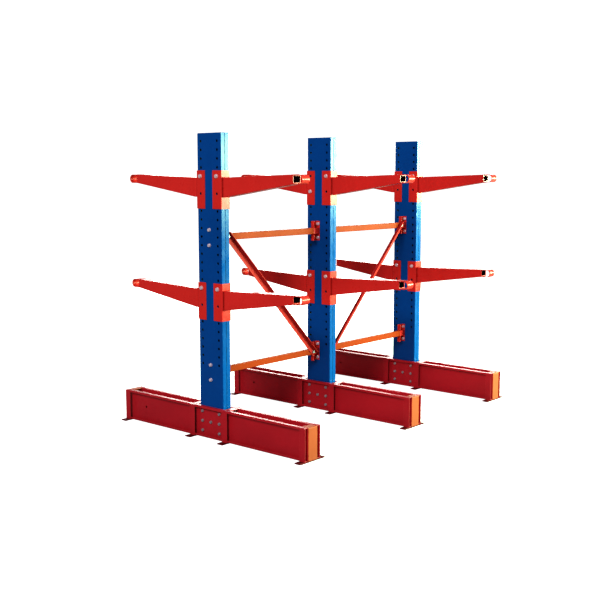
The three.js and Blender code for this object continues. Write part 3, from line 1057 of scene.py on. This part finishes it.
for n in STATIONS:
    y = (n - 2) * SPACING
    for side, turn in (("front", 0.0), ("back", HALF_TURN)):
        name = f"column_{n}_{side}"
        put(name + "_profile", column, blue, (name,), (0, y, 0), turn)
        name = f"base_{n}_channel_{side}"
        put(name + "_section", channel, base_shaded_red, (name,), (0, y, 0), turn)
        put(name + "_straps", straps, base_shaded_red, (), (0, y, 0), turn)
        put(name + "_strap_welds", strap_welds, base_shaded_red, (), (0, y, 0), turn)
    put(f"column_{n}_seam_welds", seam, blue, (), (0, y, 0))
    put(f"base_{n}_ties", ties, base_shaded_red, (), (0, y, 0))
    put(f"base_{n}_tie_welds", tie_welds, base_shaded_red, (), (0, y, 0))
    put(f"base_{n}_foot_welds", foot_welds, base_shaded_red, (), (0, y, 0))
    for i, x in enumerate(STRAPS, 1):
        put(f"base_{n}_foot_{i}_bar", foot, foot_shaded_red, (f"base_{n}_foot_{i}",), (x, y, 0))
    for i, (x, z) in enumerate(BASE_BOLTS, 1):
        put(f"base_{n}_bolt_{i}", base_bolt, shaded_zinc, (), (x, y, BASE_MIDDLE + z))
    for level, z in BRACE_LEVELS.items():
        for i, rise in enumerate((-CLEAT_BOLT_RISE, CLEAT_BOLT_RISE), 1):
            put(f"brace_bolt_{n}_{level}_{i}", brace_bolts[n], zinc, (), (0, y, z + rise))
    for side, turn in (("right", 0.0), ("left", HALF_TURN)):
        name = f"base_{n}_end_plate_{side}"
        put(name + "_sheet", end_plate, end_plate_lit_red, (name,), (0, y, 0), turn)
        for level, row in ARM_ROWS.items():
            label = f"{n}_{side}_{level}"
            z = TOP_HOLE - row * HOLE_PITCH
            at = (0, y, z)
            put(f"arm_{label}_beam", beam, red, (f"arm_{label}",), at, turn)
            put(f"arm_{label}_saddle", saddle, red, (), at, turn)
            put(f"arm_{label}_hoop", hoop, red, (), at, turn)
            put(f"arm_{label}_welds", arm_welds, red, (), at, turn)
            x = HOLE_LINE * math.cos(turn)
            bolt_z = z + (LOWER_SADDLE_HOLE if label == LOW_BOLT_ARM else 0.0)
            name = f"arm_bolt_{label}"
            put(name + "_set", arm_bolt, zinc, (name,), (x, y, bolt_z))

for bay in (1, 2):
    y = (bay - 2) * SPACING
    for level, z in BRACE_LEVELS.items():
        name = f"brace_{bay}_{level}"
        put(name + "_tube", tube, orange, (name,), (0, y, z))
        for end, flip, at in (("near", False, y), ("far", True, y + SPACING)):
            put(f"{name}_cleat_{end}", cleat, red, (), (0, at, z), 0.0, flip)
            put(f"{name}_weld_{end}", cleat_weld, red, (), (0, at, z), 0.0, flip)

put("diagonal_1_angle", diagonal, brace_red, ("diagonal_1",), (0, -SPACING, 0))
put("diagonal_2_angle", diagonal, brace_red, ("diagonal_2",), (0, SPACING, 0), 0.0, True)

for bay, outer_y, inner_y in ((1, -SPACING, 0.0), (2, SPACING, 0.0)):
    toward = 1 if bay == 1 else -1
    reach = COLUMN_FACE + DIAGONAL_BOLT
    for level, y in (("upper", outer_y + toward * reach), ("lower", inner_y - toward * reach)):
        at = (BRACE_SIDE + GAP, y, BRACE_LEVELS[level])
        put(f"diagonal_{bay}_bolt_{level}", diagonal_bolt, shaded_zinc, (), at, math.pi / 2)

# ---------------------------------------------------------------- stage, light, camera
floor_mesh = bpy.data.meshes.new("floor")
floor_corners = [(x * FLOOR_HALF, y * FLOOR_HALF, 0) for x, y in ((-1, -1), (1, -1), (1, 1), (-1, 1))]
floor_mesh.from_pydata(floor_corners, [], [(0, 1, 2, 3)])
floor = bpy.data.objects.new("floor", floor_mesh)
floor.location.z = -FLOOR_DROP
scene.collection.objects.link(floor)
pale = Nodes("pale_floor")
pale_tone = pale.mix(pale.noise(0.6, 3.0), (0.80, 0.80, 0.80), (0.84, 0.84, 0.84))
pale.link(pale_tone, pale.shader.inputs["Base Color"])
pale.shader.inputs["Roughness"].default_value = 0.9
pale.shader.inputs["Specular IOR Level"].default_value = 0.1
pale.shader.inputs["Emission Color"].default_value = WHITE
pale.shader.inputs["Emission Strength"].default_value = FLOOR_GLOW
bounce = pale.add("ShaderNodeBsdfDiffuse")
bounce.inputs["Color"].default_value = FLOOR_BOUNCE
pale_mix = pale.add("ShaderNodeMixShader")
pale.link(pale.add("ShaderNodeLightPath").outputs["Is Camera Ray"], pale_mix.inputs[0])
pale.link(bounce.outputs[0], pale_mix.inputs[1])
pale.link(pale.shader.outputs[0], pale_mix.inputs[2])
pale.link(pale_mix.outputs[0], pale.tree.nodes["Material Output"].inputs["Surface"])
floor_mesh.materials.append(pale.material)

world = bpy.data.worlds.new("studio")
scene.world = world
world.use_nodes = True
tree = world.node_tree
ambient = tree.nodes["Background"]
ambient.inputs["Color"].default_value = AMBIENT_COLOUR
ambient.inputs["Strength"].default_value = AMBIENT_STRENGTH
backdrop = tree.nodes.new("ShaderNodeBackground")
backdrop.inputs["Color"].default_value = WHITE
backdrop.inputs["Strength"].default_value = 1.0
seen = tree.nodes.new("ShaderNodeLightPath")
choice = tree.nodes.new("ShaderNodeMixShader")
tree.links.new(seen.outputs["Is Camera Ray"], choice.inputs[0])
tree.links.new(ambient.outputs[0], choice.inputs[1])
tree.links.new(backdrop.outputs[0], choice.inputs[2])
tree.links.new(choice.outputs[0], tree.nodes["World Output"].inputs["Surface"])


def area_light(name, at, target, size, power, colour):
    light = bpy.data.lights.new(name, "AREA")
    light.shape = "RECTANGLE"
    light.size, light.size_y = size
    light.energy = power
    light.color = colour
    obj = bpy.data.objects.new(name, light)
    obj.location = at
    aim = Vector(target) - Vector(at)
    obj.rotation_euler = aim.to_track_quat("-Z", "Y").to_euler()
    scene.collection.objects.link(obj)


area_light(
    "key_right", at=(6.6, 7.0, 2.6), target=(0.0, 1.0, 1.6), size=(8.5, 1.4), power=4900.0,
    colour=(0.54, 1.0, 0.63),
)
area_light(
    "front", at=(10.0, -25.0, 15.0), target=(0.0, 0.0, 1.6), size=(9.0, 9.0), power=6300.0,
    colour=(1.0, 0.92, 0.96),
)
area_light(
    "back", at=(-6.5, 8.5, 3.6), target=(0.0, 0.0, 1.0), size=(8.0, 3.0), power=900.0,
    colour=(1.0, 0.96, 0.90),
)

camera_data = bpy.data.cameras.new("camera")
camera_data.sensor_width = SENSOR_MM
camera_data.lens = LENS_MM
camera_data.clip_end = 200.0
camera = bpy.data.objects.new("camera", camera_data)
camera.location = VIEW_FROM
camera.rotation_euler = (math.radians(VIEW_TILT), 0.0, math.radians(VIEW_TURN))
scene.collection.objects.link(camera)
scene.camera = camera

scene.view_settings.view_transform = "Standard"
scene.view_settings.look = "Medium High Contrast"

bpy.context.view_layer.update()
